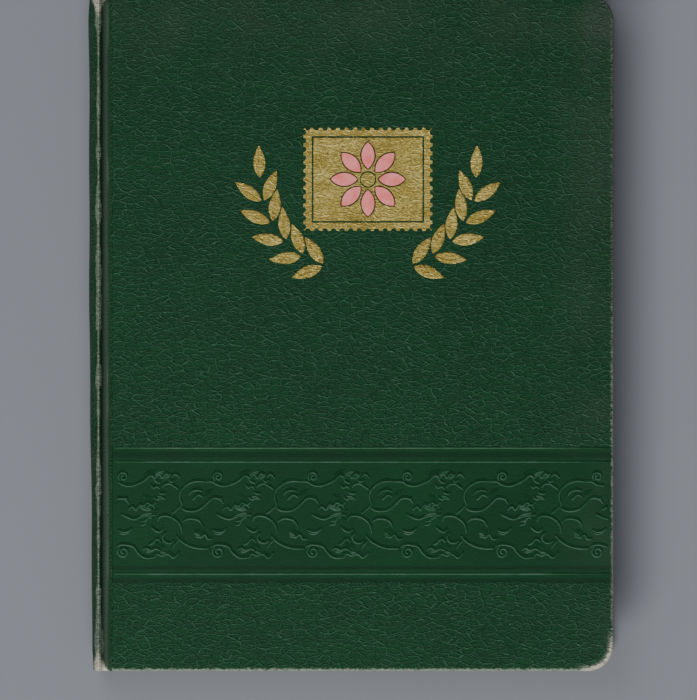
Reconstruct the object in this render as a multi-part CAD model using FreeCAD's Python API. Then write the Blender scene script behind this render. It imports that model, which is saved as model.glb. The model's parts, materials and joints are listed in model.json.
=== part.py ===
import FreeCAD, Part
import math
import os

from FreeCAD import Vector

# Stamp album, lying on its back cover: +X to the fore edge, +Y to the head, +Z up.
# Lengths are in millimetres. The origin is under the middle of the closed album.

# Case
cover_width = 155.6
cover_height = 209.6
corner_radius = 8.0
board_thickness = 2.4
cloth_thickness = 0.35
turn_in_width = 14.0
pastedown_thickness = 0.15
pastedown_margin = 2.6

# Spine and joints
joint_width = 4.0
joint_axis_depth = 1.3
spine_bulge = 3.1
inlay_thickness = 1.0

# Leaves
leaf_count = 8
card_thickness = 0.6
leaf_corner_radius = 6.0
square_width = 3.2
guard_length = 10.0
guard_thickness = 0.2
hinge_bead_radius = 0.2
interleaf_thickness = 0.06
interleaf_margin = 1.5
tipped_edge_width = 3.0
flyleaf_thickness = 0.2

# Pocket strips
pocket_rows = 6
pocket_film = 0.08
pocket_gap = 0.12
pocket_row_gap = 3.5
pocket_rail = 1.5
pocket_head_margin = 8.0
pocket_inner_margin = 7.0
pocket_outer_margin = 4.0

# Binding
lining_thickness = 0.4
lining_offset = 2.3
hinge_lining_thickness = 0.25
hinge_lining_leg = 4.0
stitch_count = 6
stitch_diameter = 0.4
stitch_end_margin = 14.0

# Pressed band and foil on the front cover
band_rule_heights = (30.0, 67.0)
band_rule_width = 1.6
band_rule_depth = 0.12
emblem_height_above_tail = 152.4
emblem_centre_from_joint = 79.5
foil_thickness = 0.05
stamp_width = 40.0
stamp_height = 32.0
stamp_border = 2.6
stamp_line = 0.5
perforation_radius = 0.85
perforation_pitch = 2.7
spray_pairs = 5
spray_leaf_length = 10.0
spray_leaf_width = 3.2
spray_leaf_stalk = 0.8
spray_radius = 29.0
spray_foot = (4.5, -28.2)
spray_start_angle = 18.0
spray_end_angle = 88.0
spray_leaf_lean = 38.0
rosette_petals = 8
petal_length = 8.2
petal_width = 4.0
petal_start = 3.3
petal_outline = 0.4
medallion_radius = 2.2

# Clearances
leaf_clearance = 0.12
flyleaf_clearance = 0.1
hinge_clearance = 0.1
joint_clearance = 0.5
ridge_setback = 0.1
inlay_clearance = 0.3

# Sizes that follow from the ones above
cover_thickness = 2 * cloth_thickness + board_thickness + pastedown_thickness
pocket_depth = pocket_gap + pocket_film
leaf_below = card_thickness / 2 + pocket_depth
leaf_above = leaf_below + leaf_clearance + interleaf_thickness
leaf_pitch = leaf_below + leaf_above + leaf_clearance
top_leaf_level = (leaf_count - 1) / 2 * leaf_pitch
flyleaf_level = top_leaf_level + leaf_above + flyleaf_clearance + flyleaf_thickness / 2
block_half = flyleaf_level + flyleaf_thickness / 2 + leaf_clearance
album_thickness = 2 * (block_half + cover_thickness)
middle_level = album_thickness / 2

album_width = cover_width + joint_width + spine_bulge
fore_edge_x = album_width / 2
board_edge_x = fore_edge_x - cover_width
joint_x = board_edge_x - joint_width / 2
ridge_x = board_edge_x - joint_width
groove_radius = joint_width / 2 - cloth_thickness - joint_clearance

lining_x = joint_x + lining_offset
guard_x = lining_x + hinge_bead_radius + hinge_clearance
card_hinge_x = guard_x + guard_length
card_x = card_hinge_x + hinge_bead_radius + hinge_clearance
leaf_edge_x = fore_edge_x - square_width
leaf_height = cover_height - 2 * square_width
lining_half = block_half - leaf_clearance - hinge_lining_thickness

ridge_half_height = middle_level - ridge_setback
spine_radius = ridge_half_height ** 2 / (2 * spine_bulge) + spine_bulge / 2
spine_centre_x = ridge_x - spine_bulge + spine_radius
ridge_angle = math.asin(ridge_half_height / spine_radius)


def box(x0, x1, y0, y1, z0, z1):
    """A block between two corners."""
    return Part.makeBox(x1 - x0, y1 - y0, z1 - z0, Vector(x0, y0, z0))


def slab(x0, x1, height, z0, z1):
    """A block that is centred from head to tail."""
    return box(x0, x1, -height / 2, height / 2, z0, z1)


def prism(points, height):
    """A closed outline in X and Z, run from tail to head."""
    outline = [Vector(x, -height / 2, z) for x, z in points]
    face = Part.Face(Part.makePolygon(outline + outline[:1]))
    return face.extrude(Vector(0, height, 0))


def rod(x, z, radius, height):
    """A round rod from tail to head."""
    return Part.makeCylinder(radius, height, Vector(x, -height / 2, z), Vector(0, 1, 0))


def rounded_plate(x0, x1, height, radius, z0, z1):
    """A plate whose two corners at x1 are rounded."""
    y = height / 2
    inner = radius * (1 - math.sqrt(0.5))
    head = Part.Arc(Vector(x1, y - radius, z0), Vector(x1 - inner, y - inner, z0), Vector(x1 - radius, y, z0))
    tail_start, tail_end = Vector(x1 - radius, -y, z0), Vector(x1, radius - y, z0)
    tail = Part.Arc(tail_start, Vector(x1 - inner, inner - y, z0), tail_end)
    corners = [Vector(x1 - radius, y, z0), Vector(x0, y, z0), Vector(x0, -y, z0), Vector(x1 - radius, -y, z0)]
    edges = [Part.LineSegment(a, b).toShape() for a, b in zip(corners, corners[1:])]
    side = Part.LineSegment(Vector(x1, radius - y, z0), Vector(x1, y - radius, z0)).toShape()
    wire = Part.Wire(edges + [tail.toShape(), side, head.toShape()])
    return Part.Face(wire).extrude(Vector(0, 0, z1 - z0))


def turned_over(shape):
    """The same shape at the front of the album, turned about its middle level."""
    copy = shape.copy()
    copy.rotate(Vector(0, 0, middle_level), Vector(1, 0, 0), 180)
    return copy


def save(name, *solids):
    """Write one named piece, or a group of like pieces."""
    shape = solids[0] if len(solids) == 1 else Part.makeCompound(list(solids))
    shape.exportStep("parts/" + name + ".step")


def make_board():
    """Back board, inside its cloth."""
    return rounded_plate(
        board_edge_x + cloth_thickness,
        fore_edge_x - cloth_thickness,
        cover_height - 2 * cloth_thickness,
        corner_radius - cloth_thickness,
        cloth_thickness,
        cloth_thickness + board_thickness,
    )


def make_cover_cloth():
    """Back cloth: the outer face, the four edges and the turned-in margins at head, tail and fore edge."""
    inner_level = board_thickness + 2 * cloth_thickness
    whole = rounded_plate(board_edge_x, fore_edge_x, cover_height, corner_radius, 0, inner_level)
    window = slab(
        board_edge_x,
        fore_edge_x - turn_in_width,
        cover_height - 2 * turn_in_width,
        cloth_thickness + board_thickness,
        inner_level,
    )
    return whole.cut(make_board()).cut(window).removeSplitter()


def make_front_cloth():
    """Front cloth, with the two straight rules of the pressed band."""
    cloth = turned_over(make_cover_cloth())
    top = album_thickness
    for height in band_rule_heights:
        y = height - cover_height / 2
        y0 = y - band_rule_width / 2
        y1 = y + band_rule_width / 2
        cloth = cloth.cut(box(board_edge_x, fore_edge_x, y0, y1, top - band_rule_depth, top))
    return cloth


def make_pastedown():
    """Back pastedown, on the turned-in margins."""
    return rounded_plate(
        board_edge_x + pastedown_margin,
        fore_edge_x - pastedown_margin,
        cover_height - 2 * pastedown_margin,
        corner_radius - pastedown_margin,
        cover_thickness - pastedown_thickness,
        cover_thickness,
    )


def spine_point(radius, angle):
    """A place on the round of the spine; angle 0 is the middle and grows towards the front."""
    return (spine_centre_x - radius * math.cos(angle), middle_level + radius * math.sin(angle))


def spine_band(outer, inner, outer_angle, inner_angle, y0, y1):
    """A part of the spine's round between two radii, each with its own half angle."""

    def arc(radius, first, last):
        ends = [spine_point(radius, a) for a in (first, 0, last)]
        return Part.Arc(*[Vector(x, y0, z) for x, z in ends]).toShape()

    def side(sign):
        ends = [spine_point(outer, sign * outer_angle), spine_point(inner, sign * inner_angle)]
        return Part.LineSegment(*[Vector(x, y0, z) for x, z in ends]).toShape()

    edges = [arc(outer, -outer_angle, outer_angle), side(1)]
    edges += [arc(inner, inner_angle, -inner_angle), side(-1)]
    wire = Part.Wire(Part.__sortEdges__(edges))
    return Part.Face(wire).extrude(Vector(0, y1 - y0, 0))


inlay_outer = spine_radius - cloth_thickness
inlay_inner = inlay_outer - inlay_thickness
inlay_setback = groove_radius + cloth_thickness + inlay_clearance
inlay_angle = ridge_angle - inlay_setback / inlay_inner
ridge_inside_angle = math.acos((spine_centre_x - ridge_x) / inlay_outer)


def make_spine_cloth():
    """Spine cloth: the round from ridge to ridge, turned in over the inlay's two ends."""
    end = cover_height / 2
    cloth = spine_band(spine_radius, inlay_outer, ridge_angle, ridge_inside_angle, -end, end)
    for y0 in (-end, end - cloth_thickness):
        cap = spine_band(inlay_outer, inlay_inner, inlay_angle, inlay_angle, y0, y0 + cloth_thickness)
        cloth = cloth.fuse(cap)
    return cloth.removeSplitter()


def make_spine_inlay():
    """Card that keeps the spine round."""
    end = cover_height / 2 - cloth_thickness
    return spine_band(inlay_outer, inlay_inner, inlay_angle, inlay_angle, -end, end)


def make_joint_cloth():
    """Back joint: cloth from the spine's ridge into a half-round groove about the joint's axis."""
    outer = groove_radius + cloth_thickness
    y = -cover_height / 2

    def at(x, z):
        return Vector(x, y, z)

    def half_round(radius):
        ends = [at(joint_x - radius, joint_axis_depth), at(joint_x + radius, joint_axis_depth)]
        top = at(joint_x, joint_axis_depth + radius)
        return Part.Arc(ends[0], top, ends[1]).toShape(), ends

    groove, groove_ends = half_round(groove_radius)
    back, back_ends = half_round(outer)
    ridge = at(*spine_point(spine_radius, -ridge_angle))
    ridge_inside = at(*spine_point(inlay_outer, -ridge_inside_angle))
    runs = [
        (ridge, groove_ends[0]),
        (groove_ends[1], back_ends[1]),
        (back_ends[0], ridge_inside),
        (ridge_inside, ridge),
    ]
    edges = [Part.LineSegment(first, last).toShape() for first, last in runs]
    wire = Part.Wire(Part.__sortEdges__(edges + [groove, back]))
    return Part.Face(wire).extrude(Vector(0, cover_height, 0))


def make_spine_lining():
    """Cloth strip at the back of the block, which carries the leaves."""
    low = middle_level - lining_half
    high = middle_level + lining_half
    return slab(lining_x - lining_thickness, lining_x, leaf_height, low, high)


def make_hinge_lining():
    """Back hinge lining: from the back of the spine lining, round its edge and under the joint."""
    back = lining_x - lining_thickness
    edge = middle_level - lining_half
    points = [
        (lining_x, edge),
        (back, edge),
        (back, edge + hinge_lining_leg),
        (back - hinge_lining_thickness, edge + hinge_lining_leg),
        (back - hinge_lining_thickness, edge),
        (joint_x - groove_radius, edge),
        (joint_x - groove_radius, edge - hinge_lining_thickness),
        (lining_x, edge - hinge_lining_thickness),
    ]
    return prism(points, leaf_height)


def make_stitches():
    """Upright thread stitches between the legs of the two hinge linings."""
    reach = lining_half - hinge_lining_leg
    x = lining_x - lining_thickness - stitch_diameter / 2
    run = leaf_height - 2 * stitch_end_margin
    stitches = []
    for index in range(stitch_count):
        y = -run / 2 + run * index / (stitch_count - 1)
        foot = Vector(x, y, middle_level - reach)
        stitches.append(Part.makeCylinder(stitch_diameter / 2, 2 * reach, foot, Vector(0, 0, 1)))
    return stitches


def make_flyleaf():
    """Back flyleaf, rounded at the edge on which it turns."""
    z = middle_level - flyleaf_level
    half = flyleaf_thickness / 2
    sheet = rounded_plate(guard_x, leaf_edge_x, leaf_height, leaf_corner_radius, z - half, z + half)
    return sheet.fuse(rod(guard_x, z, half, leaf_height)).removeSplitter()


def leaf_level(number):
    """Height of the middle of a leaf; leaf 1 is next to the front cover."""
    return middle_level + top_leaf_level - (number - 1) * leaf_pitch


def make_guard(z):
    """Linen guard with a round bead on each of its two hinge lines."""
    half = guard_thickness / 2
    strip = slab(guard_x, card_hinge_x, leaf_height, z - half, z + half)
    beads = [rod(x, z, hinge_bead_radius, leaf_height) for x in (guard_x, card_hinge_x)]
    return strip.fuse(beads).removeSplitter()


def make_card(z):
    """Stiff card leaf."""
    half = card_thickness / 2
    return rounded_plate(card_x, leaf_edge_x, leaf_height, leaf_corner_radius, z - half, z + half)


def make_pockets(z, side):
    """Pocket strips on one side of a leaf, each open at its upper edge; side is 1 above and -1 below."""
    x0 = card_x + pocket_inner_margin
    x1 = leaf_edge_x - pocket_outer_margin
    pitch = (leaf_height - 2 * pocket_head_margin + pocket_row_gap) / pocket_rows
    face = z + side * card_thickness / 2
    film = sorted((face + side * pocket_gap, face + side * pocket_depth))
    rail = sorted((face, face + side * pocket_gap))
    pockets = []
    for row in range(pocket_rows):
        y0 = -leaf_height / 2 + pocket_head_margin + row * pitch
        y1 = y0 + pitch - pocket_row_gap
        foot = box(x0, x1, y0, y0 + pocket_rail, *rail)
        ends = [box(x, x + pocket_rail, y0, y1, *rail) for x in (x0, x1 - pocket_rail)]
        pockets.append(box(x0, x1, y0, y1, *film).fuse([foot] + ends).removeSplitter())
    return pockets


def make_interleaf(z):
    """Glassine sheet over a leaf's front page, tipped to the card along its inner edge."""
    high = z + leaf_above
    low = high - interleaf_thickness
    x0 = card_x + interleaf_margin
    x1 = leaf_edge_x - interleaf_margin
    height = leaf_height - 2 * interleaf_margin
    sheet = rounded_plate(x0, x1, height, leaf_corner_radius - interleaf_margin, low, high)
    tipped = slab(x0, x0 + tipped_edge_width, height, z + card_thickness / 2, low)
    return sheet.fuse(tipped).removeSplitter()


emblem_x = board_edge_x + emblem_centre_from_joint
emblem_y = emblem_height_above_tail - cover_height / 2


def foil_leaf(x, y, direction, length, width):
    """A pointed foil leaf that starts at a point and runs in a direction in degrees."""
    z = album_thickness
    tip = Vector(length, 0, 0)
    upper = Part.Arc(Vector(), Vector(length / 2, width / 2, 0), tip).toShape()
    lower = Part.Arc(tip, Vector(length / 2, -width / 2, 0), Vector()).toShape()
    leaf = Part.Face(Part.Wire([upper, lower])).extrude(Vector(0, 0, foil_thickness))
    leaf.rotate(Vector(), Vector(0, 0, 1), direction)
    leaf.translate(Vector(x, y, z))
    return leaf


def make_petals(margin):
    """Foil petals in the middle of the stamp, grown by a margin."""
    petals = []
    start = petal_start - margin
    for index in range(rosette_petals):
        heading = 360 * index / rosette_petals
        x = emblem_x + start * math.cos(math.radians(heading))
        y = emblem_y + start * math.sin(math.radians(heading))
        petals.append(foil_leaf(x, y, heading, petal_length + 2 * margin, petal_width + 2 * margin))
    return petals


def make_foil_stamp():
    """Foil stamp with a perforated edge, a fine line inside it and openings for the petals and the disc."""
    z = album_thickness
    half_w = stamp_width / 2
    half_h = stamp_height / 2

    def centred_plate(half_x, half_y):
        corner = Vector(emblem_x - half_x, emblem_y - half_y, z)
        return Part.makeBox(2 * half_x, 2 * half_y, foil_thickness, corner)

    inner = stamp_border + stamp_line
    line = centred_plate(half_w - stamp_border, half_h - stamp_border)
    line = line.cut(centred_plate(half_w - inner, half_h - inner))
    bites = [line, *make_petals(petal_outline)]
    middle = Vector(emblem_x, emblem_y, z)
    bites.append(Part.makeCylinder(medallion_radius + petal_outline, foil_thickness, middle))
    for length, across, along_x in ((stamp_width, half_h, True), (stamp_height, half_w, False)):
        count = round(length / perforation_pitch)
        for index in range(count):
            along = length * ((index + 0.5) / count - 0.5)
            for edge in (-across, across):
                dx, dy = (along, edge) if along_x else (edge, along)
                centre = Vector(emblem_x + dx, emblem_y + dy, z)
                bites.append(Part.makeCylinder(perforation_radius, foil_thickness, centre))
    return centred_plate(half_w, half_h).cut(bites).Solids


def make_foil_sprays():
    """Two sprays of foil leaves in pairs, each ending in one leaf, at the sides of the stamp."""
    leaves = []
    for side in (-1, 1):
        for index in range(spray_pairs + 1):
            share = index / spray_pairs
            heading = spray_start_angle + share * (spray_end_angle - spray_start_angle)
            turn = math.radians(heading)
            x = spray_foot[0] + spray_radius * math.sin(turn)
            y = spray_foot[1] + spray_radius * (1 - math.cos(turn))
            leans = (-spray_leaf_lean, spray_leaf_lean) if index < spray_pairs else (0,)
            for lean in leans:
                angle = math.radians(heading + lean)
                stalk_x = x + spray_leaf_stalk * math.cos(angle)
                stalk_y = y + spray_leaf_stalk * math.sin(angle)
                direction = heading + lean if side > 0 else 180 - heading - lean
                foot = (emblem_x + side * stalk_x, emblem_y + stalk_y)
                leaves.append(foil_leaf(*foot, direction, spray_leaf_length, spray_leaf_width))
    return leaves


def make_medallion():
    """Gold foil disc at the middle of the petals."""
    return Part.makeCylinder(medallion_radius, foil_thickness, Vector(emblem_x, emblem_y, album_thickness))


os.makedirs("parts", exist_ok=True)

save("back_board", make_board())
save("back_cloth", make_cover_cloth())
save("back_pastedown", make_pastedown())
save("front_board", turned_over(make_board()))
save("front_cloth", make_front_cloth())
save("front_pastedown", turned_over(make_pastedown()))
save("foil_stamp_frame", *make_foil_stamp())
save("foil_leaf_sprays", *make_foil_sprays())
save("foil_rosette", *make_petals(0.0))
save("foil_medallion", make_medallion())

save("spine_cloth", make_spine_cloth())
save("spine_inlay", make_spine_inlay())
save("back_joint_cloth", make_joint_cloth())
save("front_joint_cloth", turned_over(make_joint_cloth()))
save("spine_lining", make_spine_lining())
save("back_hinge_lining", make_hinge_lining())
save("front_hinge_lining", turned_over(make_hinge_lining()))
save("sewing_thread", *make_stitches())

save("back_flyleaf", make_flyleaf())
save("front_flyleaf", turned_over(make_flyleaf()))
for leaf in range(1, leaf_count + 1):
    level = leaf_level(leaf)
    save(f"leaf_{leaf}_guard", make_guard(level))
    save(f"leaf_{leaf}_card", make_card(level))
    save(f"leaf_{leaf}_front_pockets", *make_pockets(level, 1))
    save(f"leaf_{leaf}_back_pockets", *make_pockets(level, -1))
    save(f"leaf_{leaf}_interleaf", make_interleaf(level))
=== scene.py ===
import json
import math

import bmesh
import bpy
from bpy.props import FloatProperty, FloatVectorProperty, IntProperty, PointerProperty
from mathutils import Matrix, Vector

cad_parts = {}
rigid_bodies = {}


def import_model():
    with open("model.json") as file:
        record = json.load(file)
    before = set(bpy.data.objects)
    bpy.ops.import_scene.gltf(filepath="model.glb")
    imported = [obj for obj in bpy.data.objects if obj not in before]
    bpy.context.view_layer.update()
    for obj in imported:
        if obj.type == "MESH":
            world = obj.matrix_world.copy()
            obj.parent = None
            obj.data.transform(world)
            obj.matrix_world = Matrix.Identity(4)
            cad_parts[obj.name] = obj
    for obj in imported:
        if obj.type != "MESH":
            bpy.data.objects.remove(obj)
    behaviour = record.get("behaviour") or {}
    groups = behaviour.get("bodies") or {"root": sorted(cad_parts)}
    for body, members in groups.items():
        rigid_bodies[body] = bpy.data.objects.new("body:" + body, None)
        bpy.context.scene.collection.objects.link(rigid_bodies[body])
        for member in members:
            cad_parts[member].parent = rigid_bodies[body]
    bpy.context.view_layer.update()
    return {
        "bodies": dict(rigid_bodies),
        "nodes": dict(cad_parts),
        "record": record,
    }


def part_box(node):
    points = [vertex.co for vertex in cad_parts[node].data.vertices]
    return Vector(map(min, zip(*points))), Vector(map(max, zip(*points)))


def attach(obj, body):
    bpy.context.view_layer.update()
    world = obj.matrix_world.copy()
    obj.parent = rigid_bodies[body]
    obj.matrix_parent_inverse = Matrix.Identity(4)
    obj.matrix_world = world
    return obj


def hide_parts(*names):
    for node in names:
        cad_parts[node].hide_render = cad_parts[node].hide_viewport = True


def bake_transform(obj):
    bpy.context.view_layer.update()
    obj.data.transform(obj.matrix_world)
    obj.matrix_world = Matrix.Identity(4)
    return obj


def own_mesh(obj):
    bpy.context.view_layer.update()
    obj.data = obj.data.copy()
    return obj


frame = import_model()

bl_info = {
    "name": "Stamp album",
    "version": (1, 0, 0),
    "blender": (4, 5, 0),
    "location": "View3D > Sidebar > Album",
    "description": "Covers, foil, pressed band, spine and leaves of a case-bound stamp album",
    "category": "Object",
}

MM = 0.001
LEAF_COUNT = sum(1 for body in frame["bodies"] if body.startswith("leaf_"))
FRONT_LOW, FRONT_HIGH = (Vector(corner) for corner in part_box("front_cloth"))
BACK_LOW, BACK_HIGH = (Vector(corner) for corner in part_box("back_cloth"))
SPINE_LOW, SPINE_HIGH = (Vector(corner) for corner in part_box("spine_cloth"))
FRAME_LOW, FRAME_HIGH = (Vector(corner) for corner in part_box("foil_stamp_frame"))
JOINTS = {joint["name"]: Vector(joint["pos_m"]) for joint in frame["record"]["behaviour"]["joints"]}
FRONT_AXIS = JOINTS["front_joint"]
BACK_AXIS = JOINTS["album_opening"]
EMBLEM = (FRAME_LOW + FRAME_HIGH) / 2
TOP = FRONT_HIGH.z
MIDDLE = (SPINE_LOW.z + SPINE_HIGH.z) / 2
RIDGE_X = 2 * FRONT_AXIS.x - FRONT_LOW.x


def length(label, about, default):
    """A size in metres that a user can change."""
    return FloatProperty(name=label, description=about, default=default, unit="LENGTH", precision=5)


def colour(label, about, default):
    """A linear colour that a user can change."""
    return FloatVectorProperty(
        name=label, description=about, default=default, subtype="COLOR", size=3, min=0, max=1
    )


class AlbumSizes(bpy.types.PropertyGroup):
    """Sizes of the album's visible forms."""

    corner_radius: length("Cover corner", "Round of the cover's fore-edge corners", 8.0 * MM)
    edge_round: length("Cover edge", "Round of the cloth over the board's edges", 0.9 * MM)
    cloth_thickness: length("Cloth", "Thickness of the leatherette", 0.35 * MM)
    turn_in: length("Turn-in", "Width of the cloth turned in under the endpaper", 14.0 * MM)
    groove_radius: length("Joint groove", "Round of the pressed joint groove", 1.15 * MM)
    band_low: length("Band foot", "Height of the band's lower rules above the tail", 30.1 * MM)
    band_high: length("Band head", "Height of the band's upper rules above the tail", 67.0 * MM)
    rule_gap: length("Rule gap", "Distance between the two lines of the upper rules", 4.3 * MM)
    scroll_centre: length("Scroll centre", "Height of the scroll's middle above the tail", 48.2 * MM)
    scroll_period: length("Scroll repeat", "Length of one repeat of the scroll", 29.4 * MM)
    scroll_line: length("Scroll line", "Half width of a pressed line", 0.33 * MM)
    # Painted shadow strips lie this far from each pressed line, towards the head
    crease_offset: length("Crease", "Distance from a pressed line to the crease beside it", 0.54 * MM)
    foil_relief: length("Foil relief", "Height of the foil above the cloth", 0.09 * MM)
    stamp_pitch: length("Perforation", "Distance between the stamp's perforations", 2.7 * MM)
    stamp_bite: length("Perforation radius", "Radius of a perforation", 0.85 * MM)
    stamp_border: length("Stamp border", "Width of the stamp's border", 2.6 * MM)
    stamp_line: length("Stamp line", "Width of the open line inside the border", 0.5 * MM)
    petal_start: length("Petal start", "Distance of a petal from the emblem's middle", 3.3 * MM)
    petal_length: length("Petal length", "Length of a petal", 8.2 * MM)
    petal_width: length("Petal width", "Width of a petal", 4.0 * MM)
    petal_gap: length("Petal gap", "Open line round the petals and the medallion", 0.4 * MM)
    medallion_radius: length("Medallion", "Radius of the medallion", 2.2 * MM)
    spray_radius: length("Spray", "Radius of a leaf spray's curve", 29.0 * MM)
    spray_leaf_length: length("Spray leaf", "Length of a leaf in a spray", 10.0 * MM)
    spray_leaf_width: length("Spray leaf width", "Width of a leaf in a spray", 3.8 * MM)


class AlbumColours(bpy.types.PropertyGroup):
    """Colours of the album's materials."""

    green: colour("Leatherette", "Main green", (0.0012, 0.0385, 0.0108))
    # Painted shade: darker green beside the grain's lines and in the band's rule grooves
    shade_green: colour("Creases", "Green beside the grain's lines", (0.0012, 0.0165, 0.0055))
    # Painted highlight: lighter green on the grain's lines and on the band's raised lines
    highlight_green: colour("Grain tops", "Green on the grain's lines", (0.034, 0.098, 0.055))
    rubbed: colour("Rubbed leatherette", "Grey-brown where hands rub", (0.034, 0.052, 0.036))
    # The worn colour also paints a highlight streak in the front joint groove
    worn: colour("Worn edge", "Grey-green where the coating has gone", (0.17, 0.2, 0.16))
    bare: colour("Bare cloth", "Cream backing under the coating", (0.37, 0.35, 0.28))
    gold: colour("Gold foil", "Foil", (0.24, 0.18, 0.036))
    # Bright foil also carries a small painted highlight along the grain's lit lines
    gold_light: colour("Bright foil", "Foil where it is whole", (0.66, 0.55, 0.2))
    pink: colour("Pink foil", "Pigment foil", (0.68, 0.125, 0.115))
    card: colour("Leaf card", "Aged cream card", (0.66, 0.57, 0.41))
    card_dark: colour("Card edge", "Browned edge of the card", (0.42, 0.31, 0.17))
    paper: colour("Endpaper", "Aged endpaper", (0.60, 0.52, 0.37))
    linen: colour("Linen", "Hinge linen", (0.50, 0.45, 0.34))
    glassine: colour("Glassine", "Translucent paper", (0.80, 0.77, 0.66))
    board: colour("Board", "Pulp board", (0.30, 0.25, 0.18))
    floor: colour("Floor", "Pale studio floor", (0.172, 0.18, 0.2))


class AlbumStage(bpy.types.PropertyGroup):
    """Camera, light and floor."""

    view_width: length("View width", "Width of the view at the front cover", 216.04 * MM)
    view_x: length("View X", "Middle of the view across the album", -0.79 * MM)
    view_y: length("View Y", "Middle of the view along the album", -5.3 * MM)
    camera_height: length("Camera height", "Camera above the front cover", 3.0)
    key_power: FloatProperty(name="Key", description="Power of the key light", default=142.0, unit="POWER")
    fill_power: FloatProperty(name="Fill", description="Power of the fill light", default=40.0, unit="POWER")
    ambient: FloatProperty(name="Ambient", description="Strength of the room's light", default=0.22)


class Value:
    """A shader value or colour; sums on it add Math nodes."""

    def __init__(self, finish, socket):
        self.finish = finish
        self.socket = socket

    def math(self, operation, *others):
        """The result of a Math node on this value and others."""
        return self.finish.node("Math", {"operation": operation}, [self, *others])

    def __add__(self, other):
        return self.math("ADD", other)

    def __sub__(self, other):
        return self.math("SUBTRACT", other)

    def __mul__(self, other):
        return self.math("MULTIPLY", other)

    def __truediv__(self, other):
        return self.math("DIVIDE", other)

    def __pow__(self, other):
        return self.math("POWER", other)

    def __rsub__(self, other):
        return self.finish.node("Math", {"operation": "SUBTRACT"}, [other, self])

    __radd__ = __add__
    __rmul__ = __mul__

    def __abs__(self):
        return self.math("ABSOLUTE")


class Finish:
    """One procedural material around a Principled shader."""

    def __init__(self, name, **constants):
        self.material = bpy.data.materials.new(name)
        self.material.use_nodes = True
        self.tree = self.material.node_tree
        self.shader = self.tree.nodes["Principled BSDF"]
        for socket, value in constants.items():
            self.shader.inputs[socket.replace("_", " ")].default_value = value
        place = self.node("TexCoord", output="Object")
        self.place = self.scaled(place, (1 / MM, 1 / MM, 1 / MM))

    def node(self, kind, settings=(), inputs=(), output=0):
        """Add a node, set it up, feed its sockets and give one output."""
        node = self.tree.nodes.new("ShaderNode" + kind)
        for key, value in dict(settings).items():
            setattr(node, key, value)
        pairs = inputs.items() if isinstance(inputs, dict) else enumerate(inputs)
        for key, value in pairs:
            if isinstance(value, Value):
                self.tree.links.new(value.socket, node.inputs[key])
            else:
                node.inputs[key].default_value = value
        return Value(self, node.outputs[output])

    def scaled(self, vector, factors):
        """A vector times a factor for each axis."""
        return self.node("VectorMath", {"operation": "MULTIPLY"}, [vector, factors])

    def parts(self):
        """The place's X, Y and Z in millimetres."""
        return [self.node("SeparateXYZ", (), [self.place], axis) for axis in range(3)]

    def noise(self, stretch, detail, roughness=0.5, distortion=0.0, output=0):
        """Noise whose stretch gives its waves per millimetre along X, Y and Z."""
        inputs = {
            "Vector": self.scaled(self.place, stretch),
            "Scale": 1.0,
            "Detail": detail,
            "Roughness": roughness,
            "Distortion": distortion,
        }
        return self.node("TexNoise", (), inputs, output)

    def step(self, value, low, high):
        """Smooth step of a value from 0 at low to 1 at high."""
        inputs = {"Value": value, "From Min": low, "From Max": high}
        return self.node("MapRange", {"interpolation_type": "SMOOTHSTEP"}, inputs)

    def mix(self, factor, first, second):
        """Mix two colours."""
        first, second = (c if isinstance(c, Value) else (*c, 1) for c in (first, second))
        return self.node("Mix", {"data_type": "RGBA"}, {0: factor, 6: first, 7: second}, 2)

    def feed(self, socket, value):
        """Link a value to the shader."""
        self.tree.links.new(value.socket, self.shader.inputs[socket])

    def bump(self, height, depth):
        """Raise the surface by a height of 0 to 1 times a depth in metres."""
        self.feed("Normal", self.node("Bump", (), {"Height": height, "Distance": depth, "Strength": 1.0}))


def colours():
    """The colours that are set in the scene."""
    return bpy.context.scene.album_colours


def sizes():
    """The sizes that are set in the scene."""
    return bpy.context.scene.album_sizes


def shade(tone, share):
    """A colour made darker or lighter."""
    return tuple(channel * share for channel in tone)


def crinkle(finish):
    """Lines of the leatherette's crinkle grain and its fine roughness; lines that run across count mostly on
    their tail side, which faces the key light, so colour laid from them is a painted highlight.
    """
    x, y, z = finish.parts()
    sway = finish.noise((0.34, 0.34, 0.34), 3, output=1)
    shift = finish.node("VectorMath", {"operation": "SCALE"}, {0: sway, "Scale": 1.9})
    round_edges = finish.node("CombineXYZ", (), [x + z, y])
    place = finish.node("VectorMath", {"operation": "ADD"}, [round_edges, shift])
    kind = {"voronoi_dimensions": "2D", "feature": "DISTANCE_TO_EDGE"}

    def cell_lines(scale, width, upright):
        """Edges of cells of one scale, with a lesser share of those that run upright; edges that run across
        keep only their tail side, the side the key light falls on.
        """

        def distance(drop):
            spot = finish.node("VectorMath", {"operation": "MULTIPLY_ADD"}, [place, scale, (0, drop, 0)])
            return finish.node("TexVoronoi", kind, {"Vector": spot, "Scale": 1.0})

        near, below = distance(0.0), distance(-0.12)
        # across is 1 only on the tail side of an edge that runs across: the lit side that takes the painted
        # highlight
        across = finish.step(below - near, 0.0, 0.09)
        return (1 - finish.step(near, 0.01, width)) * (upright + (1 - upright) * across)

    broken = finish.step(finish.noise((0.35, 0.6, 0.4), 3), 0.4, 0.6)
    faint = finish.step(finish.noise((0.25, 0.4, 0.3), 3), 0.3, 0.6) * 0.6 + 0.4
    wide = cell_lines((0.27, 0.66, 1), 0.15, 0.45) * faint
    thin = cell_lines((0.5, 1.4, 1), 0.24, 0.2) * broken * 0.75
    return wide.math("MAXIMUM", thin), finish.noise((2.2, 3.4, 2.6), 3, 0.6)


def joint_groove(finish, x, z):
    """Share of the surface that lies in a pressed joint groove."""
    across = 1 - finish.step(abs(x - FRONT_AXIS.x / MM), 0.9, 1.9)
    return across * finish.step(abs(z - MIDDLE / MM), 3.0, 5.0)


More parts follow.
